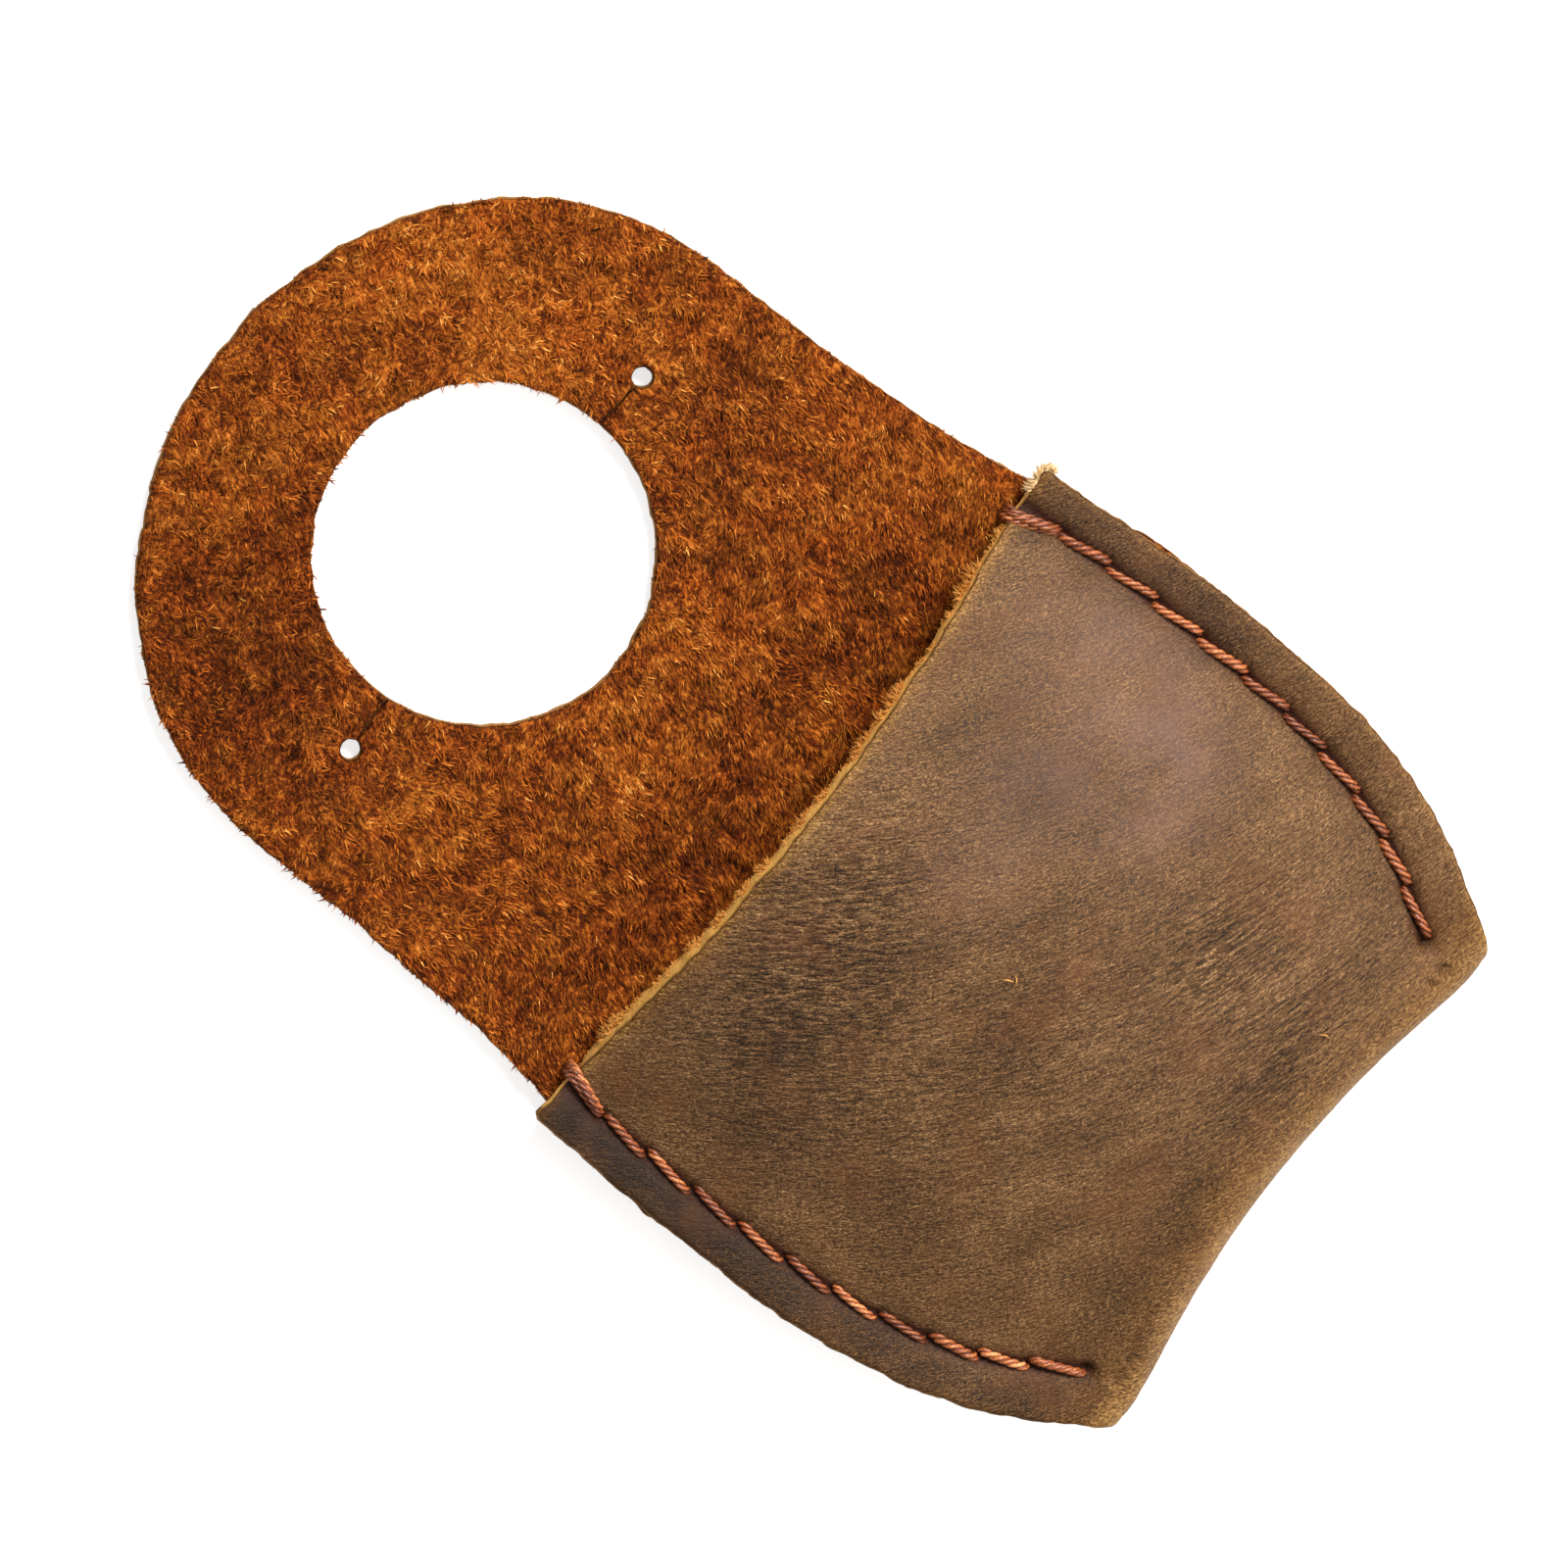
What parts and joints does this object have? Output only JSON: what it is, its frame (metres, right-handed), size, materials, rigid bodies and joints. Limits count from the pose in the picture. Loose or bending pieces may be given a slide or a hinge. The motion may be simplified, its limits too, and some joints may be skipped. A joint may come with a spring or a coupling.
{
  "type": "pick holder",
  "caption": "Folded leather pocket for guitar picks, stitched down both sides, with a round flexible hanging tab and a slitted hanging hole.",
  "frame": {"origin": "axis of the hanging hole, at the back (grain) face of the leather", "axes": "+Z out of the pocket's front, +Y from the pocket towards the tab's round end, +X across the pocket"},
  "size_m": [0.0612, 0.1003, 0.0111],
  "materials": {
    "tab_leather": "napped flesh side of oil-tanned leather, rust brown, matte",
    "pocket_leather": "waxed grain side of oil-tanned pull-up leather, dark taupe brown, satin",
    "seam_thread": "waxed twisted polyester thread, copper brown"
  },
  "bodies": {
    "pocket": {"pocket_back": "pocket_leather", "pocket_fold": "pocket_leather", "pocket_front": "pocket_leather", "right_needle_thread": "seam_thread", "right_bobbin_thread": "seam_thread", "left_needle_thread": "seam_thread", "left_bobbin_thread": "seam_thread"},
    "tab": {"hanging_tab": "tab_leather"}
  },
  "joints": [
    {"name": "tab_bend", "type": "hinge", "parent": "pocket", "child": "tab", "pos_m": [0, -0.02, 0.001], "axis": [1, 0, 0], "range_deg": [-95, 85], "stiffness_Nm_per_rad": 0.09}
  ]
}
